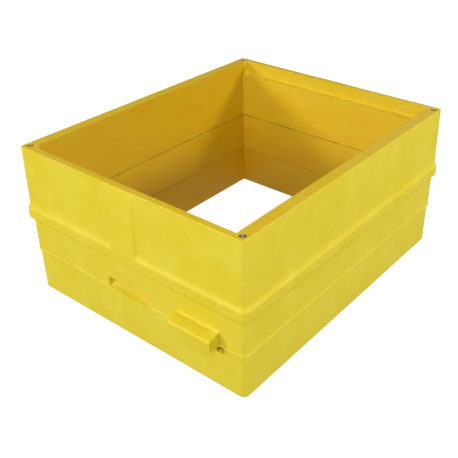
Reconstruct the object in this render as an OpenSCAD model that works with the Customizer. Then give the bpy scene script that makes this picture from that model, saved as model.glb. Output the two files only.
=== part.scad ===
// Ten-frame deep hive body built from three tiers of moulded wall panels.
// Each tier is four panels, mitred at the corners and locked by knuckles.
// A long tie bolt runs down every corner through all the knuckles.
// Origin: centre of the footprint at the bottom edge. +Z is up, the front is -Y.

/* [Box] */
// Outside length, front to rear, at the top rim
box_length = 505; // [495:1:515]
// Outside width, left to right, at the top rim
box_width = 413; // [405:1:425]
// Height of the box
box_height = 244.5; // [238:0.5:250]

/* [Walls] */
// Thickness of the left and right walls
side_wall = 19; // [18:0.5:21]
// Thickness of the front and rear walls, below the frame rests
end_wall = 23; // [22:0.5:25]
// Width of the rim that is left outside the frame rests
rest_rim = 10.5; // [10:0.5:12]
// Depth of the frame rests below the rim
rest_drop = 22.5; // [16:0.5:24]

/* [Tiers] */
// Height of the joint between the lower and the middle tier
lower_seam = 70; // [66:0.5:72]
// Height of the joint between the middle and the upper tier
upper_seam = 141.5; // [139:0.5:143]
// How far the lip of the upper tier laps down over the middle tier
lip_drop = 13.2; // [11:0.1:14]
// How far the lip stands out from the rim's outline
lip_out = 5.8; // [5:0.1:6.5]
// How far the upper tier's face leans out between the rim and the lip
upper_lean = 2; // [1:0.1:2.5]
// How far the middle tier's face stands out
middle_out = 1.5; // [1:0.1:2]
// How far the bead along the middle tier's bottom edge stands out
bead_out = 2.9; // [2.4:0.1:3.4]
// How far the lower tier's face stands out
lower_out = 0.6; // [0.4:0.1:0.8]
// Width of the tongue that locates the middle tier on the lower one
tongue_width = 6; // [5:0.5:6.5]
// Height of that tongue
tongue_height = 6; // [4:0.5:6]

/* [Corners] */
// Corner radius of the upper tier
upper_corner = 4; // [3:0.5:6]
// Corner radius of the middle tier
middle_corner = 8; // [6:0.5:9]
// Corner radius of the lower tier
lower_corner = 9; // [6:0.5:9]
// Radius of the interlocking corner knuckles
knuckle_radius = 6.5; // [6:0.1:7]
// Distance from the side faces to the tie bolts
bolt_from_side = 9.5; // [9:0.1:10.5]
// Distance from the end faces to the tie bolts
bolt_from_end = 11; // [10:0.1:11.5]

/* [Tie bolts] */
// Diameter of the tie bolt shank
bolt_diameter = 5; // [4.5:0.1:5.2]
// Diameter of the button head
head_diameter = 9.4; // [9:0.1:9.6]
// Height of the button head
head_height = 2.8; // [2.5:0.1:3]
// Width of the nut across its flats
nut_flats = 8; // [8:0.1:8.5]
// Height of the nut
nut_height = 5; // [4:0.5:5]
// Diameter of the washer under the nut
washer_diameter = 10; // [9.5:0.1:11]

/* [Grips] */
// Width of the scooped handhold in each end wall
handhold_width = 81; // [75:1:90]
// Height of the handhold's top edge above the bottom of the box
handhold_top = 89; // [88:0.5:90]
// Depth of the handhold at its top edge
handhold_depth = 12.2; // [10:0.1:13]
// Sideways position of the handhold's centre
handhold_x = -2.5; // [-5:0.5:5]
// Width of the lifting cleat on each end wall
cleat_width = 74; // [60:1:80]
// Height of the cleat's front face
cleat_height = 19; // [16:0.5:20]
// How far the cleat stands out from the middle tier
cleat_reach = 20; // [15:0.5:22]
// Sideways position of the cleat's centre
cleat_x = 129; // [120:1:132]
// Width of the plain raised pad above the handhold
pad_width = 53; // [40:1:60]
// Width of the tool notch in the lower tier's top edge
notch_width = 12.4; // [10:0.2:14]
// Sideways position of the tool notch
notch_x = 166; // [160:1:168]

/* [Hidden] */
$fn = 48;

panel_colour = [0.88, 0.79, 0.26];
steel_colour = "dimgray";

// Tiers are numbered from the bottom: 0 lower, 1 middle, 2 upper.
tier_corner = [lower_corner, middle_corner, upper_corner];
tier_floor = [0, lower_seam, upper_seam];
tier_top = [lower_seam, upper_seam, box_height];

mitre_depth = min(side_wall, end_wall);
edge = 0.8;                  // small break on an exposed edge
overrun = 1;                 // how far a cutter passes a face
rest_floor = box_height - rest_drop;
lip_bottom = upper_seam - lip_drop;
lip_fit = 0.3;               // gap between the lip and the tier inside it
lap_inset = 2;               // the middle tier's rebate behind the lip
rib_top = upper_seam + 7.8;  // top of the chamfer that leads out to the lip
rib_bottom = rib_top - lip_out + upper_lean;
bead_height = 5.5;
knuckle_margin = 5;          // solid wall above and below each knuckle
knuckle_fit = 0.2;
bolt_hole = bolt_diameter + 0.5;
head_recess = 10;            // diameter of the recess round the bolt's head
head_recess_depth = head_height + 0.4;
nut_recess = 12;             // diameter of the recess round the nut
nut_recess_depth = 9;
washer_thickness = 1;
bolt_end = 1.5;              // height of the bolt's lower end
socket_flats = 3;
tongue_stop = 32;            // the tongue ends this far from each corner
tongue_fit = 0.3;
pad_top = box_height - 5;
notch_height = 12.2;
notch_depth = 8.5;
cleat_edge = 2;
cleat_rise = 2;              // the cleat's top climbs this much towards the wall
cleat_root = 4;              // how far the cleat's block runs into the wall
scoop_outset = 6;            // the scoop's axis lies this far outside the wall

// A wall section is a list of [distance outside the rim's outline, height].
// It ends inwards at the given depth below that outline.
function lower_section(depth) = [
    [-depth, 0], [lower_out + 0.25 - edge, 0], [lower_out + 0.25, edge],
    [lower_out - 0.1, lower_seam - edge], [lower_out - 0.1 - edge, lower_seam],
    [-depth, lower_seam]
];

function middle_section(depth) = [
    [-depth, lower_seam], [lower_out - edge, lower_seam],
    [bead_out - 0.5, lower_seam + 0.5], [bead_out, lower_seam + 1],
    [bead_out - 0.1, lower_seam + 2.5], [middle_out + 0.2, lower_seam + bead_height],
    [middle_out - 0.2, lip_bottom - lip_fit], [-lap_inset, lip_bottom - lip_fit],
    [-lap_inset, upper_seam - edge], [-lap_inset - edge, upper_seam],
    [-depth, upper_seam]
];

function upper_section(depth) = [
    [-depth, upper_seam], [lip_fit - lap_inset, upper_seam],
    [lip_fit - lap_inset, lip_bottom], [lip_out + 0.4 - edge, lip_bottom],
    [lip_out + 0.4, lip_bottom + edge], [lip_out, rib_bottom],
    [upper_lean, rib_top], [0, box_height - edge], [-edge, box_height],
    [-depth, box_height]
];

function tier_section(tier, depth) =
    tier == 0 ? lower_section(depth) :
    tier == 1 ? middle_section(depth) : upper_section(depth);

// A wall runs along X here, and its outer face looks towards -Y.
module straight_run(section, length, reach) {
    rotate([90, 0, 90])
        translate([0, 0, -length / 2])
            linear_extrude(length)
                polygon([for (p = section) [-reach - p[0], p[1]]]);
}

// One eighth of a turn, left or right: the panel's own half of a rounded corner.
module corner_run(section, radius, turn) {
    rotate([0, 0, -90])
        rotate_extrude(angle = turn)
            polygon([for (p = section) [radius + p[0], p[1]]]);
}

// Plan of one panel between its two mitres.
module mitre_plan(half, reach, thick, radius) {
    outer = reach + 3 * lip_out;
    translate([0, 0, -overrun])
        linear_extrude(box_height + 2 * overrun)
            polygon([
                [radius - half, -outer], [half - radius, -outer],
                [half - radius, radius - reach], [half - mitre_depth, mitre_depth - reach],
                [half - mitre_depth, thick + overrun - reach],
                [mitre_depth - half, thick + overrun - reach],
                [mitre_depth - half, mitre_depth - reach], [radius - half, radius - reach]
            ]);
}

module mitred_wall(tier, span, reach, thick) {
    radius = tier_corner[tier];
    half = span / 2;
    intersection() {
        straight_run(tier_section(tier, thick), span - 2 * radius, reach);
        mitre_plan(half, reach, thick, radius);
    }
    for (end = [-1, 1])
        translate([end * (half - radius), radius - reach, 0])
            corner_run(tier_section(tier, radius), radius, end * 45);
}

// Places something at both tie bolts of a wall.
module at_bolts(span, reach, along, across) {
    for (end = [-1, 1])
        translate([end * (span / 2 - along), across - reach, 0])
            children();
}

module upright(radius, low, high) {
    translate([0, 0, low]) cylinder(r = radius, h = high - low);
}

// One wall panel. The end walls own the lower knuckle of a tier and the side
// walls the upper one.
module wall_panel(tier, span, reach, thick, along, across, owns_lower) {
    low = tier_floor[tier] + knuckle_margin;
    high = tier_top[tier] - knuckle_margin;
    middle = (low + high) / 2;
    own = owns_lower ? [low, middle - knuckle_fit] : [middle + knuckle_fit, high];
    other = owns_lower ? [middle, high + knuckle_fit] : [low - knuckle_fit, middle];
    difference() {
        union() {
            difference() {
                mitred_wall(tier, span, reach, thick);
                at_bolts(span, reach, along, across)
                    upright(knuckle_radius + knuckle_fit, other[0], other[1]);
            }
            at_bolts(span, reach, along, across)
                upright(knuckle_radius, own[0], own[1]);
        }
        at_bolts(span, reach, along, across) {
            upright(bolt_hole / 2, -overrun, box_height + overrun);
            upright(head_recess / 2, box_height - head_recess_depth, box_height + overrun);
            upright(nut_recess / 2, -overrun, nut_recess_depth);
        }
    }
}

// Tongue, or the groove for it when fit is above zero.
module tongue(span, reach, thick, fit) {
    length = span - 2 * tongue_stop + 2 * fit;
    width = tongue_width + 2 * fit;
    translate([-length / 2, 0.6 * thick - reach - width / 2, lower_seam - overrun])
        cube([length, width, tongue_height + overrun + fit]);
}

module end_panel(tier) {
    wall_panel(tier, box_width, box_length / 2, end_wall, bolt_from_side, bolt_from_end, true);
}

module side_panel(tier) {
    wall_panel(tier, box_length, box_width / 2, side_wall, bolt_from_end, bolt_from_side, false);
}

module frame_rest() {
    length = box_width - 2 * side_wall;
    translate([-length / 2, rest_rim - box_length / 2, rest_floor])
        cube([length, end_wall, rest_drop + overrun]);
}

// Plain raised pad that carries the lip's face up to the rim.
module pad() {
    reach = box_length / 2;
    straight_run([
        [-2, lip_bottom], [lip_out + 0.4 - edge, lip_bottom],
        [lip_out + 0.4, lip_bottom + edge], [lip_out, rib_bottom],
        [edge + 0.4, pad_top], [-2, pad_top + 2]
    ], pad_width, reach);
}

// Scooped recess: deepest under its top edge, running out at its floor.
module handhold() {
    radius = handhold_depth + scoop_outset;
    reach = box_length / 2;
    intersection() {
        translate([handhold_x - handhold_width / 2, -reach - scoop_outset, handhold_top])
            rotate([0, 90, 0])
                cylinder(r = radius, h = handhold_width, $fn = 64);
        translate([handhold_x - handhold_width / 2, -reach - 2 * radius, lower_seam])
            cube([handhold_width, 4 * radius, handhold_top - lower_seam]);
    }
}

// Lifting cleat: a block with broken edges that grows out of the wall.
module cleat() {
    root = box_length / 2 - cleat_root;
    face = box_length / 2 + middle_out + cleat_reach;
    low = lower_seam + 0.2;
    high = low + cleat_height;
    half = cleat_width / 2;
    translate([cleat_x, 0, 0])
        intersection() {
            rotate([90, 0, 90])
                translate([0, 0, -half])
                    linear_extrude(cleat_width)
                        polygon([
                            [-root, low], [-face + cleat_edge, low], [-face, low + cleat_edge],
                            [-face, high - cleat_edge], [-face + cleat_edge, high],
                            [-root, high + cleat_rise]
                        ]);
            linear_extrude(box_height)
                polygon([
                    [-half, -root], [-half, -face + cleat_edge], [-half + cleat_edge, -face],
                    [half - cleat_edge, -face], [half, -face + cleat_edge], [half, -root]
                ]);
        }
}

module notch() {
    reach = box_length / 2;
    translate([notch_x - notch_width / 2, -reach - lip_out, lower_seam - notch_height])
        cube([notch_width, notch_depth + lip_out, notch_height + overrun]);
}

module end_upper_panel() {
    color(panel_colour)
        difference() {
            union() {
                end_panel(2);
                pad();
            }
            frame_rest();
        }
}

module end_middle_panel() {
    color(panel_colour)
        difference() {
            union() {
                end_panel(1);
                cleat();
            }
            handhold();
            tongue(box_width, box_length / 2, end_wall, tongue_fit);
        }
}

module end_lower_panel() {
    color(panel_colour)
        difference() {
            union() {
                end_panel(0);
                tongue(box_width, box_length / 2, end_wall, 0);
            }
            notch();
        }
}

module side_upper_panel() {
    color(panel_colour) side_panel(2);
}

module side_middle_panel() {
    color(panel_colour)
        difference() {
            side_panel(1);
            tongue(box_length, box_width / 2, side_wall, tongue_fit);
        }
}

module side_lower_panel() {
    color(panel_colour)
        union() {
            side_panel(0);
            tongue(box_length, box_width / 2, side_wall, 0);
        }
}

// The rear wall is the front wall turned half round, and the sides likewise.
module rear() { rotate([0, 0, 180]) children(); }
module right() { rotate([0, 0, 90]) children(); }
module left() { rotate([0, 0, -90]) children(); }

// Puts a fastener at one corner: side is -1 left or 1 right, end is -1 front.
module at_corner(side, end) {
    translate([side * (box_width / 2 - bolt_from_side), end * (box_length / 2 - bolt_from_end), 0])
        children();
}

module tie_bolt() {
    seat = box_height - head_recess_depth;
    dome = head_diameter / 2;
    color(steel_colour)
        difference() {
            union() {
                upright(bolt_diameter / 2, bolt_end, seat + 0.1);
                translate([0, 0, seat])
                    rotate_extrude()
                        polygon([
                            [0, 0], [dome - 0.3, 0], [dome, 0.3], [dome, 0.7],
                            [dome * 0.87, head_height * 0.7], [dome * 0.6, head_height], [0, head_height]
                        ]);
            }
            translate([0, 0, seat + head_height - 1.8])
                cylinder(r = socket_flats / 2 / cos(30), h = 1.8 + overrun, $fn = 6);
        }
}

module washer() {
    color(steel_colour)
        difference() {
            upright(washer_diameter / 2, nut_recess_depth - washer_thickness, nut_recess_depth);
            upright(bolt_hole / 2, 0, box_height);
        }
}

module nut() {
    top = nut_recess_depth - washer_thickness;
    color(steel_colour)
        difference() {
            intersection() {
                translate([0, 0, top - nut_height])
                    cylinder(r = nut_flats / 2 / cos(30), h = nut_height, $fn = 6);
                translate([0, 0, top - nut_height])
                    rotate_extrude()
                        polygon([
                            [0, 0], [nut_flats / 2 - 0.2, 0], [nut_flats / 2 + 0.7, 0.8],
                            [nut_flats / 2 + 0.7, nut_height], [0, nut_height]
                        ]);
            }
            upright(bolt_diameter / 2 + 0.05, 0, box_height);
        }
}

end_upper_panel();  // front_upper_panel
end_middle_panel();  // front_middle_panel
end_lower_panel();  // front_lower_panel
rear() end_upper_panel();  // rear_upper_panel
rear() end_middle_panel();  // rear_middle_panel
rear() end_lower_panel();  // rear_lower_panel
left() side_upper_panel();  // left_upper_panel
left() side_middle_panel();  // left_middle_panel
left() side_lower_panel();  // left_lower_panel
right() side_upper_panel();  // right_upper_panel
right() side_middle_panel();  // right_middle_panel
right() side_lower_panel();  // right_lower_panel
at_corner(-1, -1) tie_bolt();  // front_left_tie_bolt
at_corner(1, -1) tie_bolt();  // front_right_tie_bolt
at_corner(-1, 1) tie_bolt();  // rear_left_tie_bolt
at_corner(1, 1) tie_bolt();  // rear_right_tie_bolt
at_corner(-1, -1) washer();  // front_left_washer
at_corner(1, -1) washer();  // front_right_washer
at_corner(-1, 1) washer();  // rear_left_washer
at_corner(1, 1) washer();  // rear_right_washer
at_corner(-1, -1) nut();  // front_left_nut
at_corner(1, -1) nut();  // front_right_nut
at_corner(-1, 1) nut();  // rear_left_nut
at_corner(1, 1) nut();  // rear_right_nut
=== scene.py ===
"""Looks of a ten-frame deep hive body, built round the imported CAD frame.

Every wall panel is a cage of box-shaped cells, with its features as steps in the outer skin, smoothed
by subdivision and bored for the tie bolts. Cage sizes are millimetres: `along` the wall from its
middle, `depth` inwards from the rim's outline, and height. Meshes are in metres, in the frame's axes.
"""
import math

import bmesh
import bpy
import numpy as np
from mathutils import Matrix, Vector, noise

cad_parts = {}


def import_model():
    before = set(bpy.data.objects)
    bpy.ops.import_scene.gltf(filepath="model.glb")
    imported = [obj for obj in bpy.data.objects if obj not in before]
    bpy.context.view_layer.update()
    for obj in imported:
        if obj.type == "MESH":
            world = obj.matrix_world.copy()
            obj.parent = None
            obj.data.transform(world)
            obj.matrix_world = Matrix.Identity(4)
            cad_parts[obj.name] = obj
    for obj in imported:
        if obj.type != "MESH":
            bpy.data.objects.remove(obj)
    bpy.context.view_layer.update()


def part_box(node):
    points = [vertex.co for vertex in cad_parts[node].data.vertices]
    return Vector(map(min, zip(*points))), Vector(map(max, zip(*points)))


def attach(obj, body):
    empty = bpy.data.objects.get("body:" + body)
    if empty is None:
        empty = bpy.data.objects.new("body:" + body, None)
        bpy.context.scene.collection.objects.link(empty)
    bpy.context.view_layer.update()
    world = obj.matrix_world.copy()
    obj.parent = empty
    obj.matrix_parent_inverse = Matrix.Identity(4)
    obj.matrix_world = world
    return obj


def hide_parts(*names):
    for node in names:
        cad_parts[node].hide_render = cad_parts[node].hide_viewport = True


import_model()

MM = 0.001

# ---------------------------------------------------------------- sizes
# What the frame gives:
side_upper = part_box("right_upper_panel")
end_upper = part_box("front_upper_panel")
side_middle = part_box("right_middle_panel")
bolt_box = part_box("front_right_tie_bolt")
nut_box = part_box("front_right_nut")
washer_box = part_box("front_right_washer")

LIP_OUT = 6.2                       # the lip's face stands this far outside the rim's outline
HEIGHT = side_upper[1].z / MM
WIDTH = 2 * (side_upper[1].x / MM - LIP_OUT)
LENGTH = 2 * (-end_upper[0].y / MM - LIP_OUT)
SIDE_WALL = WIDTH / 2 - side_upper[0].x / MM
END_WALL = LENGTH / 2 + end_upper[1].y / MM
LOWER_SEAM = side_middle[0].z / MM
UPPER_SEAM = side_middle[1].z / MM
LIP_BOTTOM = side_upper[0].z / MM
BOLT_X = (bolt_box[0].x + bolt_box[1].x) / 2 / MM
BOLT_Y = -(bolt_box[0].y + bolt_box[1].y) / 2 / MM

# What the design repeats, as in the CAD source:
EDGE = 0.8                          # break on an exposed edge
JOINT_EDGE = 0.35                   # break on an edge at a joint between two panels
GRIME_BAND = 1.6                    # how far the grime of a joint reaches from it
LAP = 2.0                           # the middle tier's rebate behind the lip
LAP_GAP = 0.3
REST_RIM = 10.5
REST_DROP = 22.5
BORE = 5.5
HEAD_RECESS = 10.0
HEAD_RECESS_DEPTH = 3.2
NUT_RECESS = 12.0
NUT_RECESS_DEPTH = 9.0
CORNER = {"lower": 9.0, "middle": 8.0, "upper": 4.0}
HANDHOLD = {"along": (-43.0, 38.0), "top": 89.0, "radius": 18.2, "outset": 6.0,
            "fairing": 3.5}
CLEAT = {"along": (92.0, 166.0), "round": 2.0, "top": 95.5, "margin": 2.5}
PAD = {"along": (-26.5, 26.5), "fairing": 6.5}
PAD_FACE = ((144, 150, 239.5, 243), (5.9, 5.65, 1.2, 0))     # heights, and how far out it stands
NOTCH = {"along": (159.8, 172.2), "floor": 57.8, "depth": 8.5, "round": 0.6}
TONGUE = {"half_width": 3.0, "height": 6.0, "stop": 32.0, "fit": 0.3}
STEP_SLIVER = 0.01                  # gap between the cage lines that make a step's riser
LATHE_TURN = 0.3                    # keeps turned bodies' points off the walls' own planes

# Outer faces of the three tiers: heights, and how far out the face stands there.
BEAD = (LOWER_SEAM, 70.5, 71, 72.3, 73.8)
SHOULDER = (144, 146.5, 150, 154.5)
FACES = {
    "lower": ((0, EDGE, LOWER_SEAM - EDGE, LOWER_SEAM), (0.05, 0.85, 0.5, -0.3)),
    "middle": ((*BEAD, 83, LIP_BOTTOM - LAP_GAP), (-0.2, 2.4, 2.9, 2.8, 1.7, 1.5, 1.3)),
    "upper": (
        (LIP_BOTTOM, LIP_BOTTOM + EDGE, *SHOULDER, HEIGHT - EDGE, HEIGHT),
        (LIP_OUT - EDGE, LIP_OUT, 5.9, 4.7, 2.9, 1.85, 0, -EDGE),
    ),
}


# ---------------------------------------------------------------- cage building
def filled(lines, gap):
    """The lines, with more between them so that none is further than gap from the next."""
    lines = sorted(set(lines))
    out = []
    for a, b in zip(lines, lines[1:]):
        count = max(1, math.ceil((b - a) / gap))
        out += [a + (b - a) * i / count for i in range(count)]
    return out + [lines[-1]]


def step_lines(at, side, radius):
    """Lines of one step: the side is +1 where the feature lies at larger values."""
    steps = (-radius, 0, STEP_SLIVER, 2 * STEP_SLIVER, 3 * STEP_SLIVER, radius + 3 * STEP_SLIVER)
    return [at + side * s for s in steps]


def step_height(value, at, side, radius, full):
    """How high a step stands at value: 0 outside it, and full inside it."""
    place = (value - at) * side / STEP_SLIVER
    if place < 0.5:
        return 0.0
    if place < 1.5:
        return min(radius, full / 2)
    if place < 2.5:
        return max(full - radius, full / 2)
    return full


def soft_step_lines(at, side, width):
    return [at + side * width * share for share in (-0.15, 0, 0.25, 0.5, 0.75, 1, 1.15)]


def end_lines(feature, lines, size):
    """Cage lines for both ends of a feature along the wall."""
    return [line for at, side in zip(feature["along"], (1, -1)) for line in lines(at, side, size)]


def soft_step(value, at, side, width):
    """Share of a faired step's height at value: 0 outside it, and 1 inside it."""
    share = min(1.0, max(0.0, (value - at) * side / width))
    return share * share * (3 - 2 * share)


def cage(name, alongs, depths, heights, solid, place):
    """Boundary quads of the solid cells, as a bmesh. place turns a lattice point into a position."""
    bm = bmesh.new()
    known = {}

    def corner(i, j, k):
        if (i, j, k) not in known:
            known[i, j, k] = bm.verts.new(place(alongs[i], j, heights[k], k))
        return known[i, j, k]

    count = (len(alongs) - 1, len(depths) - 1, len(heights) - 1)
    full = np.zeros(tuple(n + 2 for n in count), bool)
    for i in range(count[0]):
        for j in range(count[1]):
            for k in range(count[2]):
                middle = [(lines[n] + lines[n + 1]) / 2
                          for lines, n in ((alongs, i), (depths, j), (heights, k))]
                full[i + 1, j + 1, k + 1] = solid(*middle)
    faces = {
        (1, 0, 0): ((1, 0, 0), (1, 1, 0), (1, 1, 1), (1, 0, 1)),
        (-1, 0, 0): ((0, 0, 0), (0, 0, 1), (0, 1, 1), (0, 1, 0)),
        (0, 1, 0): ((0, 1, 0), (0, 1, 1), (1, 1, 1), (1, 1, 0)),
        (0, -1, 0): ((0, 0, 0), (1, 0, 0), (1, 0, 1), (0, 0, 1)),
        (0, 0, 1): ((0, 0, 1), (1, 0, 1), (1, 1, 1), (0, 1, 1)),
        (0, 0, -1): ((0, 0, 0), (0, 1, 0), (1, 1, 0), (1, 0, 0)),
    }
    for i, j, k in np.argwhere(full) - 1:
        for (a, b, c), corners in faces.items():
            if not full[i + 1 + a, j + 1 + b, k + 1 + c]:
                bm.faces.new([corner(i + p, j + q, k + r) for p, q, r in corners])
    bmesh.ops.remove_doubles(bm, verts=bm.verts, dist=2e-6)
    bmesh.ops.dissolve_degenerate(bm, edges=bm.edges, dist=1e-7)
    mesh = bpy.data.meshes.new(name)
    bm.to_mesh(mesh)
    bm.free()
    return mesh


def applied(obj):
    """The object's mesh with its modifiers applied."""
    mesh = bpy.data.meshes.new_from_object(obj.evaluated_get(bpy.context.evaluated_depsgraph_get()))
    obj.modifiers.clear()
    old = obj.data
    obj.data = mesh
    bpy.data.meshes.remove(old)
    return mesh


def new_object(name, mesh):
    obj = bpy.data.objects.new(name, mesh)
    bpy.context.scene.collection.objects.link(obj)
    return obj


def ring(bm, centre, radius, height, sides, turn=0.0):
    """Points round a vertical axis, in mm, or one point where the radius is 0.

    The radius is a number, or a function of the angle. The turn is a share of one side.
    """
    loop = []
    for i in range(sides if radius else 1):
        angle = 2 * math.pi * (i + turn) / sides
        r = radius(angle) if callable(radius) else radius
        x, y = centre[0] + r * math.cos(angle), centre[1] + r * math.sin(angle)
        loop.append(bm.verts.new((x * MM, y * MM, height * MM)))
    return loop


def skin_between(bm, loops, sides):
    """Faces between each loop and the next. A loop of one point makes a cap."""
    for low, high in zip(loops, loops[1:]):
        for i in range(sides):
            n = (i + 1) % sides
            quad = [low[i % len(low)], low[n % len(low)], high[n % len(high)], high[i % len(high)]]
            corners = list(dict.fromkeys(quad))
            if len(corners) > 2:
                bm.faces.new(corners)
    bmesh.ops.recalc_face_normals(bm, faces=bm.faces)


def mesh_object(name, bm):
    """A new object from a bmesh, which is freed."""
    mesh = bpy.data.meshes.new(name)
    bm.to_mesh(mesh)
    bm.free()
    return new_object(name, mesh)


def lathe(name, profile, centre, sides=64):
    """Closed body of revolution round a vertical axis. The profile is (radius, height) pairs in mm."""
    bm = bmesh.new()
    loops = [ring(bm, centre, radius, height, sides, LATHE_TURN) for radius, height in profile]
    skin_between(bm, loops, sides)
    return mesh_object(name, bm)


# ---------------------------------------------------------------- walls
def bore_tool():
    """Cutter for the four tie bolts: bore, head recess with a flared mouth, nut recess."""
    head, nut, bore = HEAD_RECESS / 2, NUT_RECESS / 2, BORE / 2
    seat, overrun, head_mouth, nut_mouth = HEIGHT - HEAD_RECESS_DEPTH, 2, 0.35, 0.4
    profile = [
        (0, -overrun), (nut + nut_mouth, -overrun), (nut + nut_mouth, 0), (nut, nut_mouth),
        (nut, NUT_RECESS_DEPTH), (bore, NUT_RECESS_DEPTH), (bore, seat), (head, seat),
        (head, HEIGHT - head_mouth), (head + head_mouth, HEIGHT + 0.01),
        (head + head_mouth, HEIGHT + overrun), (0, HEIGHT + overrun),
    ]
    tools = []
    for sign in (-1, 1):
        for end in (-1, 1):
            tools.append(lathe("bore_tool", profile, (sign * BOLT_X, end * BOLT_Y)))
    bm = bmesh.new()
    for tool in tools:
        bm.from_mesh(tool.data)
        bpy.data.objects.remove(tool)
    return mesh_object("bore_tool", bm)


def smoothed(obj, levels=2):
    modifier = obj.modifiers.new("round", "SUBSURF")
    modifier.levels = modifier.render_levels = levels
    applied(obj)


def bored(obj, cutter):
    modifier = obj.modifiers.new("bore", "BOOLEAN")
    modifier.object = cutter
    modifier.operation = "DIFFERENCE"
    modifier.solver = "MANIFOLD"
    applied(obj)


def shaded(obj, degrees=38):
    """Smooth shading, with edges sharper than the angle kept sharp."""
    bm = bmesh.new()
    bm.from_mesh(obj.data)
    for face in bm.faces:
        face.smooth = True
    for edge in bm.edges:
        edge.smooth = not edge.is_manifold or edge.calc_face_angle(0) < math.radians(degrees)
    bm.to_mesh(obj.data)
    bm.free()


class Wall:
    """One of the four walls. Its own frame has the outer face towards -Y."""

    def __init__(self, side, span, reach, thick, turn):
        self.side = side
        self.half = span / 2
        self.reach = reach
        self.thick = thick
        self.turn = Matrix.Rotation(math.radians(turn), 4, "Z")
        self.back = self.turn.inverted()
        self.phase = sum(map(ord, side)) / 50    # sets each wall's noise apart
        self.is_end = thick > SIDE_WALL
        self.inner = self.half - SIDE_WALL       # where the mitre meets the inner face
        self.tongue = (0.6 * thick, self.half - TONGUE["stop"])    # its middle's depth, and its end

    def place(self, radius, along, depth, height):
        """Position of a cage point, with the mitre's fan and the rounded corner worked in."""
        u = abs(along)
        start = self.half - radius
        x, y = u, depth - self.reach
        if u > self.inner and depth >= radius:
            share = min(1.0, (u - self.inner) / (start - self.inner))
            x = self.inner + (SIDE_WALL - min(depth, SIDE_WALL)) * share
        elif u > start:
            angle = math.pi / 4 * (u - start) / radius
            x = start + (radius - depth) * math.sin(angle)
            y = radius - self.reach - (radius - depth) * math.cos(angle)
        return self.turn @ Vector((math.copysign(x, along) * MM, y * MM, height * MM))

    def alongs(self, radius, features, gap=24):
        """Cage lines along the wall: the mitred round corners, the features, and fill."""
        start = self.half - radius
        ends = [self.inner - 9, self.inner - JOINT_EDGE]
        ends += [self.inner + (start - self.inner) * s for s in (0, 0.4, 0.8, 0.97, 1)]
        ends += [start + radius * s for s in (0.25, 0.5, 0.75, 0.965, 1)]
        return filled([-u for u in ends] + ends + features, gap)

    def panel(self, tier, skin, alongs, depths, heights, removed, height_of=None):
        """One wall panel from its cage.

        skin(along, height) is how far out the outer face stands. removed(along, depth, height) says
        which cells are left out. height_of(along, k) moves a cage line up or down along the wall.
        """
        radius = CORNER[tier]
        depths = sorted({0, EDGE, radius, SIDE_WALL - JOINT_EDGE, SIDE_WALL, self.thick - JOINT_EDGE,
                         self.thick, *depths})

        def solid(along, depth, height):
            u = abs(along)
            if (depth > SIDE_WALL and u > self.inner) or (depth > radius and u > self.half - radius):
                return False
            return not removed(along, depth, height)

        def place(along, j, height, k):
            z = height_of(along, k) if height_of else height
            behind = -skin(along, z)
            depth = behind + EDGE * min(j, 1)
            if j > 1:
                depth = max(depths[j], behind + 0.7 * EDGE * j)
            return self.place(radius, along, depth, z)

        name = f"{self.side}_{tier}_skin"
        return new_object(name, cage(name, alongs, depths, heights, solid, place))


def face(tier, height):
    return float(np.interp(height, *FACES[tier]))


def upper_panel(wall):
    pad_heights = PAD_FACE[0]
    rest_floor = HEIGHT - REST_DROP
    heights = [LIP_BOTTOM, LIP_BOTTOM + EDGE, 137, UPPER_SEAM, UPPER_SEAM + JOINT_EDGE,
               UPPER_SEAM + GRIME_BAND, *SHOULDER, HEIGHT - EDGE, HEIGHT, *pad_heights[2:]]
    depths = [LAP - LAP_GAP]
    if wall.is_end:
        heights += [rest_floor - EDGE, rest_floor, rest_floor + EDGE]
        depths += [REST_RIM - EDGE, REST_RIM, REST_RIM + EDGE]
    heights = filled(heights, 30)
    features = end_lines(PAD, soft_step_lines, PAD["fairing"]) if wall.is_end else []
    alongs = wall.alongs(CORNER["upper"], features)

    def skin(along, height):
        out = face("upper", height)
        if not wall.is_end or height < pad_heights[0]:
            return out
        full = float(np.interp(height, *PAD_FACE)) - out
        if full <= 0:
            return out
        low, high = PAD["along"]
        return out + full * min(soft_step(along, low, 1, PAD["fairing"]),
                                soft_step(along, high, -1, PAD["fairing"]))

    def removed(along, depth, height):
        if height < UPPER_SEAM:
            return depth > LAP - LAP_GAP
        return wall.is_end and height > rest_floor and depth > REST_RIM and abs(along) < wall.inner

    return wall.panel("upper", skin, alongs, depths, heights, removed)


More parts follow.
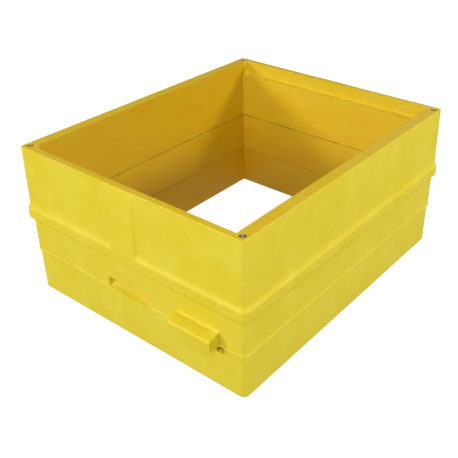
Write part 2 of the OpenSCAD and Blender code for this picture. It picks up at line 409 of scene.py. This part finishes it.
def middle_panel(wall):
    top = HANDHOLD["top"]
    bottom = [*BEAD, 78, 83]
    in_scoop = [*BEAD[:3], 71.5, 73.3, 76.5, 81]
    rim = sorted(step_lines(top, -1, EDGE))
    in_cleat = [85.8, 88.0, 89.4, 91.2, 92.6, CLEAT["top"]]
    rest = [LIP_BOTTOM - LAP_GAP - EDGE, LIP_BOTTOM - LAP_GAP, UPPER_SEAM - GRIME_BAND,
            UPPER_SEAM - JOINT_EDGE, UPPER_SEAM]
    heights = bottom + rim + filled([103] + rest, 26)
    groove_middle, groove_end = wall.tongue[0], wall.tongue[1] + TONGUE["fit"]
    groove_half = TONGUE["half_width"] + TONGUE["fit"]
    groove_top = LOWER_SEAM + TONGUE["height"] + TONGUE["fit"]
    depths = [LAP, groove_middle - groove_half, groove_middle + groove_half]
    features = [-groove_end, groove_end]
    if wall.is_end:
        features += end_lines(HANDHOLD, soft_step_lines, HANDHOLD["fairing"])
        features += end_lines(CLEAT, step_lines, CLEAT["round"])
    alongs = wall.alongs(CORNER["middle"], features)
    cleat_shape = (
        (LOWER_SEAM, 70.5, 71.3, *in_cleat),
        (20.3, 21.1, 21.4, 21.4, 20.6, 18.6, 4.8, 2.8, 1.5),
    )

    scoop_floor = BEAD[2] + 0.05

    def height_of(along, k):
        if not wall.is_end or k >= len(bottom) + len(rim):
            return heights[k]
        low, high = HANDHOLD["along"]
        if low < along < high:
            return (in_scoop + rim)[k]
        if CLEAT["along"][0] - CLEAT["margin"] < along < CLEAT["along"][1] + CLEAT["margin"]:
            return (bottom + in_cleat)[k]
        return heights[k]

    def skin(along, height):
        out = face("middle", height)
        if not wall.is_end:
            return out
        low, high = HANDHOLD["along"]
        if low < along < high and scoop_floor < height < top:
            cut = out - HANDHOLD["outset"] + math.sqrt(HANDHOLD["radius"] ** 2 - (top - height) ** 2)
            return out - min(cut * soft_step(along, low, 1, HANDHOLD["fairing"]),
                             cut * soft_step(along, high, -1, HANDHOLD["fairing"]),
                             step_height(height, top, -1, EDGE, cut))
        if height < CLEAT["top"]:
            full = float(np.interp(height, *cleat_shape)) - out
            low, high = CLEAT["along"]
            return out + min(step_height(along, low, 1, CLEAT["round"], full),
                             step_height(along, high, -1, CLEAT["round"], full))
        return out

    def removed(along, depth, height):
        if height > LIP_BOTTOM - LAP_GAP and depth < LAP:
            return True
        return (height < groove_top and abs(depth - groove_middle) < groove_half
                and abs(along) < groove_end)

    return wall.panel("middle", skin, alongs, depths, heights, removed, height_of)


def lower_panel(wall):
    heights = [0, EDGE, LOWER_SEAM - GRIME_BAND, LOWER_SEAM - EDGE, LOWER_SEAM - JOINT_EDGE,
               LOWER_SEAM, LOWER_SEAM + TONGUE["height"]]
    tongue_middle, tongue_end = wall.tongue
    depths = [tongue_middle - TONGUE["half_width"], tongue_middle + TONGUE["half_width"]]
    features = [-tongue_end, tongue_end]
    if wall.is_end:
        heights += step_lines(NOTCH["floor"], 1, NOTCH["round"])
        features += end_lines(NOTCH, step_lines, NOTCH["round"])
    heights = filled(heights, 24)
    alongs = wall.alongs(CORNER["lower"], features)

    def skin(along, height):
        out = face("lower", height)
        low, high = NOTCH["along"]
        if wall.is_end and low < along < high and height > NOTCH["floor"]:
            cut = NOTCH["depth"] + out
            return out - min(step_height(along, low, 1, NOTCH["round"], cut),
                             step_height(along, high, -1, NOTCH["round"], cut),
                             step_height(height, NOTCH["floor"], 1, NOTCH["round"], cut))
        return out

    def removed(along, depth, height):
        off_tongue = abs(depth - tongue_middle) > TONGUE["half_width"] or abs(along) > tongue_end
        return height > LOWER_SEAM and off_tongue

    return wall.panel("lower", skin, alongs, depths, heights, removed)


def bowed(obj, wall, amount=0.3):
    """Gives a wall the slight waves of a moulded panel, inwards from its CAD face."""
    for v in obj.data.vertices:
        p = wall.back @ v.co
        fade = min(1.0, max(0.0, (wall.half * MM - abs(p.x)) / 0.06))
        wave = noise.noise(Vector((p.x * 9, wall.phase, p.z * 14)))
        fine = noise.noise(Vector((p.x * 30 + 5, wall.phase, p.z * 41)))
        p.y += fade * amount * MM * (0.5 + 0.4 * wave + 0.12 * fine)
        v.co = wall.turn @ p


def uneven_joint(obj, wall):
    """Opens the joints between tiers a little and unevenly, along their inner edges."""
    inside = (wall.thick - wall.reach - 1.2) * MM
    middle = sum(v.co.z for v in obj.data.vertices) / len(obj.data.vertices)
    for v in obj.data.vertices:
        p = wall.back @ v.co
        if p.y < inside:
            continue
        for seam, share in ((LOWER_SEAM * MM, 0.3), (UPPER_SEAM * MM, 1)):
            if abs(v.co.z - seam) < 0.5 * MM:
                away = 1 if middle > seam else -1
                ragged = noise.noise(Vector((p.x * 70, wall.phase, away * 2.3)))
                v.co.z += away * MM * share * (0.1 + 0.5 * max(0.0, ragged + 0.3))


def amber_and_shade_tone(wall, p, depth, inside):
    """Amber and painted shade at a point of a wall: much on inside faces, where it is partly the
    plastic's tone and partly painted shade; some on the rim and rests; and painted shade in hollows.
    """
    if inside:
        # inside faces: amber with painted shade, heavier towards the bottom on the end walls
        tone = 0.82 + (-0.4 if wall.is_end else 0.03) * p.z / HEIGHT
        return min(1.0, tone + 0.22 * noise.noise(Vector((p.x * 0.022, wall.phase, p.z * 0.05))))
    if p.z > HEIGHT - REST_DROP - 1 and depth > REST_RIM - 1 and wall.is_end:
        return 0.3
    if p.z > HEIGHT - 0.3:
        return 0.42
    if p.z < EDGE:
        return 0.1
    # hollows such as the handhold and the notch: painted shade, deeper further in
    return min(0.9, max(0.0, (depth - 5) / 6))


def grime_tone(wall, p):
    """Dirt at an inside point, in patches along the joints. The lower joint has half as much."""
    above, below = abs(p.z - UPPER_SEAM), abs(p.z - LOWER_SEAM)
    patchy = noise.noise(Vector((p.x * 0.035, wall.phase, 3.0 if above < below else 8.0)))
    reach = max(1 - above / GRIME_BAND, 0.5 * (1 - below / GRIME_BAND), 0)
    return reach * min(1.0, max(0.15, 0.55 + 1.4 * patchy))


def toned(obj, wall):
    """Paints masks on the vertices: amber and painted shade (inside faces, rim, hollows), painted shade
    high on the long walls' inside faces, and grime (joints)."""
    attributes = obj.data.attributes
    names = ("amber_and_shade", "painted_top_shade", "grime")
    for name in names:
        attributes.new(name, "FLOAT", "POINT")
    amber_and_shade, painted_top_shade, grime = (attributes[name].data for name in names)
    for v in obj.data.vertices:
        p = (wall.back @ v.co) / MM
        depth = p.y + wall.reach
        inside = depth > wall.thick - 1.0
        amber_and_shade[v.index].value = amber_and_shade_tone(wall, p, depth, inside)
        if inside:
            grime[v.index].value = grime_tone(wall, p)
        # painted shade: darker high on the long walls' inside faces
        if inside and not wall.is_end:
            share = min(1.0, max(0.0, (p.z / HEIGHT - 0.2) / 0.4))
            painted_top_shade[v.index].value = 0.4 * share


# ---------------------------------------------------------------- fasteners
def hexagon(flats):
    """Radius, by angle, of a hexagon that measures 2 * flats across its flats."""
    return lambda angle: flats / math.cos((angle + math.pi / 6) % (math.pi / 3) - math.pi / 6)


def finished_body(name, bm):
    obj = mesh_object(name, bm)
    shaded(obj, 32)
    return obj


def button_head_bolt(name, centre, sides=48):
    """Button-head bolt: hexagon socket, domed head, shank with a thread at its lower end."""
    seat = HEIGHT - HEAD_RECESS_DEPTH
    top, end = bolt_box[1].z / MM, bolt_box[0].z / MM
    dome = (bolt_box[1].x - bolt_box[0].x) / 2 / MM
    socket, floor = 1.5, top - 1.8
    shank, fillet = 2.5, 0.2
    thread_top, pitch, crest, root = 26.0, 0.8, 2.45, 2.12

    rings = [(0, floor - 0.5), (hexagon(socket * 0.55), floor - 0.15), (hexagon(socket), floor),
             (hexagon(socket), top - 0.35), (hexagon(socket + 0.3), top - 0.03), (dome * 0.5, top)]
    rings += [(dome * (0.5 + 0.5 * math.sin(a)), top - (top - seat - 0.75) * (1 - math.cos(a)))
              for a in np.linspace(0.35, math.pi / 2, 8)]
    rings += [(dome, seat + 0.3), (dome - 0.25, seat), (shank + fillet, seat), (shank, seat - 0.3),
              (shank, thread_top)]
    for i in range(int((thread_top - end - 1) / pitch)):
        rings += [(crest, thread_top - (i + 0.3) * pitch), (root, thread_top - (i + 0.8) * pitch)]
    rings += [(2.1, end + 0.3), (1.7, end), (0, end)]
    bm = bmesh.new()
    skin_between(bm, [ring(bm, centre, radius, height, sides) for radius, height in rings], sides)
    obj = finished_body(name, bm)
    bare_and_highlight = obj.data.attributes.new("bare_and_highlight", "FLOAT", "POINT")
    for v in obj.data.vertices:
        reach = math.hypot(v.co.x / MM - centre[0], v.co.y / MM - centre[1])
        # the crown gets a painted highlight; the thread is rubbed bare
        crown = v.co.z / MM > seat + 0.5 and reach < dome * 0.62
        bare_and_highlight.data[v.index].value = 0.75 if crown else 0.6 if v.co.z / MM < thread_top else 0.0
    return obj


def ring_body(name, centre, inner, outline, sides=48):
    """Washer or nut: a ring whose outer radius may depend on the angle, such as a hexagon's."""
    bm = bmesh.new()
    outline = outline + [(inner, outline[-1][1]), (inner, outline[0][1])]
    loops = [ring(bm, centre, radius, height, sides) for radius, height in outline]
    skin_between(bm, loops + loops[:1], sides)
    return finished_body(name, bm)


def washer(name, centre):
    low, high = washer_box[0].z / MM, washer_box[1].z / MM
    outer = (washer_box[1].x - washer_box[0].x) / 2 / MM
    outline = [(BORE / 2 + 0.15, low), (outer - 0.2, low), (outer, low + 0.25), (outer, high - 0.25),
               (outer - 0.2, high)]
    return ring_body(name, centre, BORE / 2, outline)


def lock_nut(name, centre):
    low, high = nut_box[0].z / MM, nut_box[1].z / MM
    flats = (nut_box[1].y - nut_box[0].y) / 2 / MM

    def cut_hexagon(cut):
        return lambda angle: min(hexagon(flats)(angle), flats + cut)

    outline = [(flats - 1.1, low), (flats - 0.7, low + 0.25), (flats - 0.6, low + 1.2),
               (flats - 0.1, low + 1.3), (cut_hexagon(0.25), low + 1.6),
               (cut_hexagon(0.62), low + 2.1), (cut_hexagon(0.62), high - 0.5),
               (cut_hexagon(0.1), high - 0.1), (flats - 0.3, high)]
    return ring_body(name, centre, 2.55, outline)


# ---------------------------------------------------------------- materials
def new_material(name):
    material = bpy.data.materials.new(name)
    material.use_nodes = True
    nodes = material.node_tree.nodes
    return material, nodes, material.node_tree.links, nodes["Principled BSDF"]


def noise_node(nodes, links, coordinates, scale, detail=3, rough=0.5):
    node = nodes.new("ShaderNodeTexNoise")
    node.inputs["Scale"].default_value = scale
    node.inputs["Detail"].default_value = detail
    node.inputs["Roughness"].default_value = rough
    links.new(coordinates, node.inputs["Vector"])
    return node.outputs["Fac"]


def mapped(nodes, links, value, low, high, to_low, to_high):
    node = nodes.new("ShaderNodeMapRange")
    for name, number in (("From Min", low), ("From Max", high), ("To Min", to_low), ("To Max", to_high)):
        node.inputs[name].default_value = number
    links.new(value, node.inputs["Value"])
    return node.outputs["Result"]


def mixed(nodes, links, factor, one, other):
    """Colour mix. one and other are colours or sockets."""
    node = nodes.new("ShaderNodeMix")
    node.data_type = "RGBA"
    links.new(factor, node.inputs["Factor"])
    for socket, colour in ((node.inputs[6], one), (node.inputs[7], other)):
        if isinstance(colour, tuple):
            socket.default_value = (*colour, 1)
        else:
            links.new(colour, socket)
    return node.outputs[2]


def bumped(nodes, links, value, distance, strength, under=None):
    node = nodes.new("ShaderNodeBump")
    node.inputs["Distance"].default_value = distance
    node.inputs["Strength"].default_value = strength
    links.new(value, node.inputs["Height"])
    if under is not None:
        links.new(under, node.inputs["Normal"])
    return node.outputs["Normal"]


YELLOW = (0.79, 0.647, 0.034)
PALE_YELLOW = (0.82, 0.69, 0.066)
DEEP_YELLOW = (0.77, 0.605, 0.016)
# paler edge colour: partly scuffing, partly painted highlight
SCUFF_AND_HIGHLIGHT_YELLOW = (0.84, 0.73, 0.10)
# amber of the inside faces, also used as painted shade inside and in hollows
AMBER_AND_SHADE = (0.79, 0.41, 0.002)
# painted shade colour for the upper inside faces of the long walls
PAINTED_TOP_SHADE = (0.36, 0.27, 0.0)
GRIME = (0.28, 0.13, 0.015)


def attribute(nodes, name):
    node = nodes.new("ShaderNodeAttribute")
    node.attribute_name = name
    return node.outputs["Fac"]


def panel_plastic():
    """Satin moulded plastic: cloudy yellow; amber and painted shade on the inside faces, the rim and in
    hollows; painted shade high on the long walls' inside faces; paler edges that are partly scuffs and
    partly painted highlights; dirt in the joints.
    """
    material, nodes, links, shader = new_material("panel_plastic")
    where = nodes.new("ShaderNodeTexCoord").outputs["Object"]
    clouds = noise_node(nodes, links, where, 11, 4, 0.55)
    patches = noise_node(nodes, links, where, 34, 3, 0.6)
    blots = noise_node(nodes, links, where, 160, 3, 0.6)
    specks = noise_node(nodes, links, where, 900, 2, 0.6)
    # convex edges turn paler: partly scuffs, partly painted highlight
    edge = mapped(nodes, links, nodes.new("ShaderNodeNewGeometry").outputs["Pointiness"],
                  0.52, 0.60, 0, 0.25)
    base = mixed(nodes, links, mapped(nodes, links, clouds, 0.35, 0.65, 0, 1), DEEP_YELLOW, YELLOW)
    base = mixed(nodes, links, mapped(nodes, links, patches, 0.5, 0.75, 0, 0.6), base, PALE_YELLOW)
    # amber with painted shade, by its mask
    base = mixed(nodes, links, attribute(nodes, "amber_and_shade"), base, AMBER_AND_SHADE)
    # painted shade high on the long walls' inside faces
    base = mixed(nodes, links, attribute(nodes, "painted_top_shade"), base, PAINTED_TOP_SHADE)
    base = mixed(nodes, links, edge, base, SCUFF_AND_HIGHLIGHT_YELLOW)
    dirty = nodes.new("ShaderNodeMath")
    dirty.operation = "MULTIPLY"
    links.new(mapped(nodes, links, blots, 0.35, 0.6, 0.35, 1), dirty.inputs[0])
    links.new(attribute(nodes, "grime"), dirty.inputs[1])
    base = mixed(nodes, links, dirty.outputs[0], base, GRIME)
    links.new(base, shader.inputs["Base Color"])
    links.new(mapped(nodes, links, patches, 0.3, 0.7, 0.40, 0.50), shader.inputs["Roughness"])
    shader.inputs["IOR"].default_value = 1.49
    shader.inputs["Specular IOR Level"].default_value = 0.36
    skin = bumped(nodes, links, clouds, 0.0012, 0.25)
    skin = bumped(nodes, links, specks, 0.00006, 0.35, skin)
    links.new(skin, shader.inputs["Normal"])
    return material


def bolt_steel():
    """Blackened steel with turning marks, rubbed bright on the thread, with a painted highlight on the
    crown of the head.
    """
    material, nodes, links, shader = new_material("bolt_steel")
    where = nodes.new("ShaderNodeTexCoord").outputs["Object"]
    stains = noise_node(nodes, links, where, 420, 4, 0.6)
    marks = noise_node(nodes, links, where, 2600, 2, 0.5)
    edge = mapped(nodes, links, nodes.new("ShaderNodeNewGeometry").outputs["Pointiness"],
                  0.52, 0.62, 0, 1)
    base = mixed(nodes, links, mapped(nodes, links, stains, 0.4, 0.65, 0, 1),
                 (0.07, 0.075, 0.07), (0.16, 0.165, 0.15))
    base = mixed(nodes, links, edge, base, (0.45, 0.45, 0.42))
    # pale steel: painted highlight on the crown, rubbed metal on the thread
    base = mixed(nodes, links, attribute(nodes, "bare_and_highlight"), base, (0.80, 0.80, 0.76))
    links.new(base, shader.inputs["Base Color"])
    shader.inputs["Metallic"].default_value = 0.8
    links.new(mapped(nodes, links, stains, 0.3, 0.7, 0.28, 0.5), shader.inputs["Roughness"])
    links.new(bumped(nodes, links, marks, 0.00004, 0.4), shader.inputs["Normal"])
    return material


def cove_paper():
    """Plain white paper on a light table."""
    material, nodes, links, shader = new_material("cove_paper")
    where = nodes.new("ShaderNodeTexCoord").outputs["Object"]
    grain = noise_node(nodes, links, where, 60, 3)
    links.new(mixed(nodes, links, grain, (0.29, 0.29, 0.29), (0.31, 0.31, 0.31)),
              shader.inputs["Base Color"])
    shader.inputs["Roughness"].default_value = 0.9
    shader.inputs["Emission Color"].default_value = (1, 1, 1, 1)
    shader.inputs["Emission Strength"].default_value = 0.9
    return material


# ---------------------------------------------------------------- build
end_reach, side_reach = LENGTH / 2, WIDTH / 2
WALLS = [
    Wall("front", WIDTH, end_reach, END_WALL, 0),
    Wall("rear", WIDTH, end_reach, END_WALL, 180),
    Wall("right", LENGTH, side_reach, SIDE_WALL, 90),
    Wall("left", LENGTH, side_reach, SIDE_WALL, -90),
]
plastic = panel_plastic()
steel = bolt_steel()


def dress(obj, node, material):
    obj.data.materials.clear()
    obj.data.materials.append(material)
    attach(obj, "root")
    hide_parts(node)


cutter = bore_tool()
for wall in WALLS:
    for tier, build in (("upper", upper_panel), ("middle", middle_panel), ("lower", lower_panel)):
        obj = build(wall)
        smoothed(obj)
        bowed(obj, wall)
        uneven_joint(obj, wall)
        bored(obj, cutter)
        shaded(obj)
        toned(obj, wall)
        dress(obj, f"{wall.side}_{tier}_panel", plastic)
bpy.data.objects.remove(cutter)

for end, y in (("front", -BOLT_Y), ("rear", BOLT_Y)):
    for side, x in (("left", -BOLT_X), ("right", BOLT_X)):
        corner = f"{end}_{side}"
        for part, make in (("tie_bolt", button_head_bolt), ("washer", washer), ("nut", lock_nut)):
            obj = make(f"{corner}_{part}_detail", (x, y))
            dress(obj, f"{corner}_{part}", steel)


# ---------------------------------------------------------------- floor, light and camera
def cove():
    """White floor curving up all round, seen by the camera only: the world lights the box."""
    flat, bend, top = 6.0, 3.0, 9.0
    profile = [(0, 0), (1, 0), (3, 0), (flat, 0)]
    profile += [(flat + bend * math.sin(a), bend * (1 - math.cos(a)))
                for a in np.linspace(0.2, math.pi / 2, 8)]
    profile += [(flat + bend, top), (0, top)]
    obj = lathe("cove", [(r / MM, z / MM - 0.2) for r, z in profile], (0, 0))
    for polygon in obj.data.polygons:
        polygon.use_smooth = True
    obj.data.flip_normals()
    obj.data.materials.append(cove_paper())
    obj.visible_diffuse = obj.visible_glossy = obj.visible_shadow = False


def softbox(name, direction, power, size=0.7, distance=3.0):
    """Square area light in the given direction from the box's middle, and aimed at it."""
    target = Vector((0, 0, 0.12))
    away = Vector(direction).normalized()
    data = bpy.data.lights.new(name, "AREA")
    data.shape = "SQUARE"
    data.size = size
    data.energy = power
    obj = bpy.data.objects.new(name, data)
    bpy.context.scene.collection.objects.link(obj)
    obj.location = target + away * distance
    obj.rotation_euler = (-away).to_track_quat("-Z", "Y").to_euler()


def world(above, below):
    """Studio surroundings, with the floor's bounce light below the horizon."""
    sky = bpy.data.worlds.new("studio")
    sky.use_nodes = True
    nodes, links = sky.node_tree.nodes, sky.node_tree.links
    split = nodes.new("ShaderNodeSeparateXYZ")
    links.new(nodes.new("ShaderNodeTexCoord").outputs["Generated"], split.inputs[0])
    level = mapped(nodes, links, split.outputs["Z"], -0.05, 0.05, below, above)
    nodes["Background"].inputs["Color"].default_value = (1, 1, 1, 1)
    links.new(level, nodes["Background"].inputs["Strength"])
    bpy.context.scene.world = sky


def camera(place, azimuth, elevation, roll, lens, shift):
    """Camera on a 36 mm sensor. The angles are degrees, and the lens is millimetres."""
    data = bpy.data.cameras.new("camera")
    data.sensor_width = 36
    data.lens = lens
    data.shift_x = shift
    data.clip_end = 30
    obj = bpy.data.objects.new("camera", data)
    bpy.context.scene.collection.objects.link(obj)
    a, e = math.radians(azimuth), math.radians(elevation)
    forward = Vector((-math.sin(a) * math.cos(e), math.cos(a) * math.cos(e), -math.sin(e)))
    turn = forward.to_track_quat("-Z", "Y")
    obj.rotation_mode = "QUATERNION"
    obj.rotation_quaternion = turn @ Matrix.Rotation(math.radians(roll), 3, "Z").to_quaternion()
    obj.location = place
    bpy.context.scene.camera = obj


cove()
softbox("key_front_left", (-1, -2, 0.65), 32, 0.45)
softbox("key_right_rear", (2.2, 1, 0.88), 33, 0.4)
softbox("overhead", (0, 0, 1), 12)
softbox("fill_front", (0, -1, 0.35), 22)
softbox("fill_right", (1, 0, 0.35), 20)
softbox("fill_rear", (-0.3, 1, -0.05), 26, 1.2)
softbox("fill_left", (-1, 0.3, -0.05), 25, 1.2)
softbox("fill_camera", (0.6, -0.8, 0.9), 21)
world(0.15, 0.33)
camera((0.6387, -0.7753, 0.6799), 37.81, 31.64, 0.22, 56.04, -0.0716)
bpy.context.scene.view_settings.view_transform = "Standard"
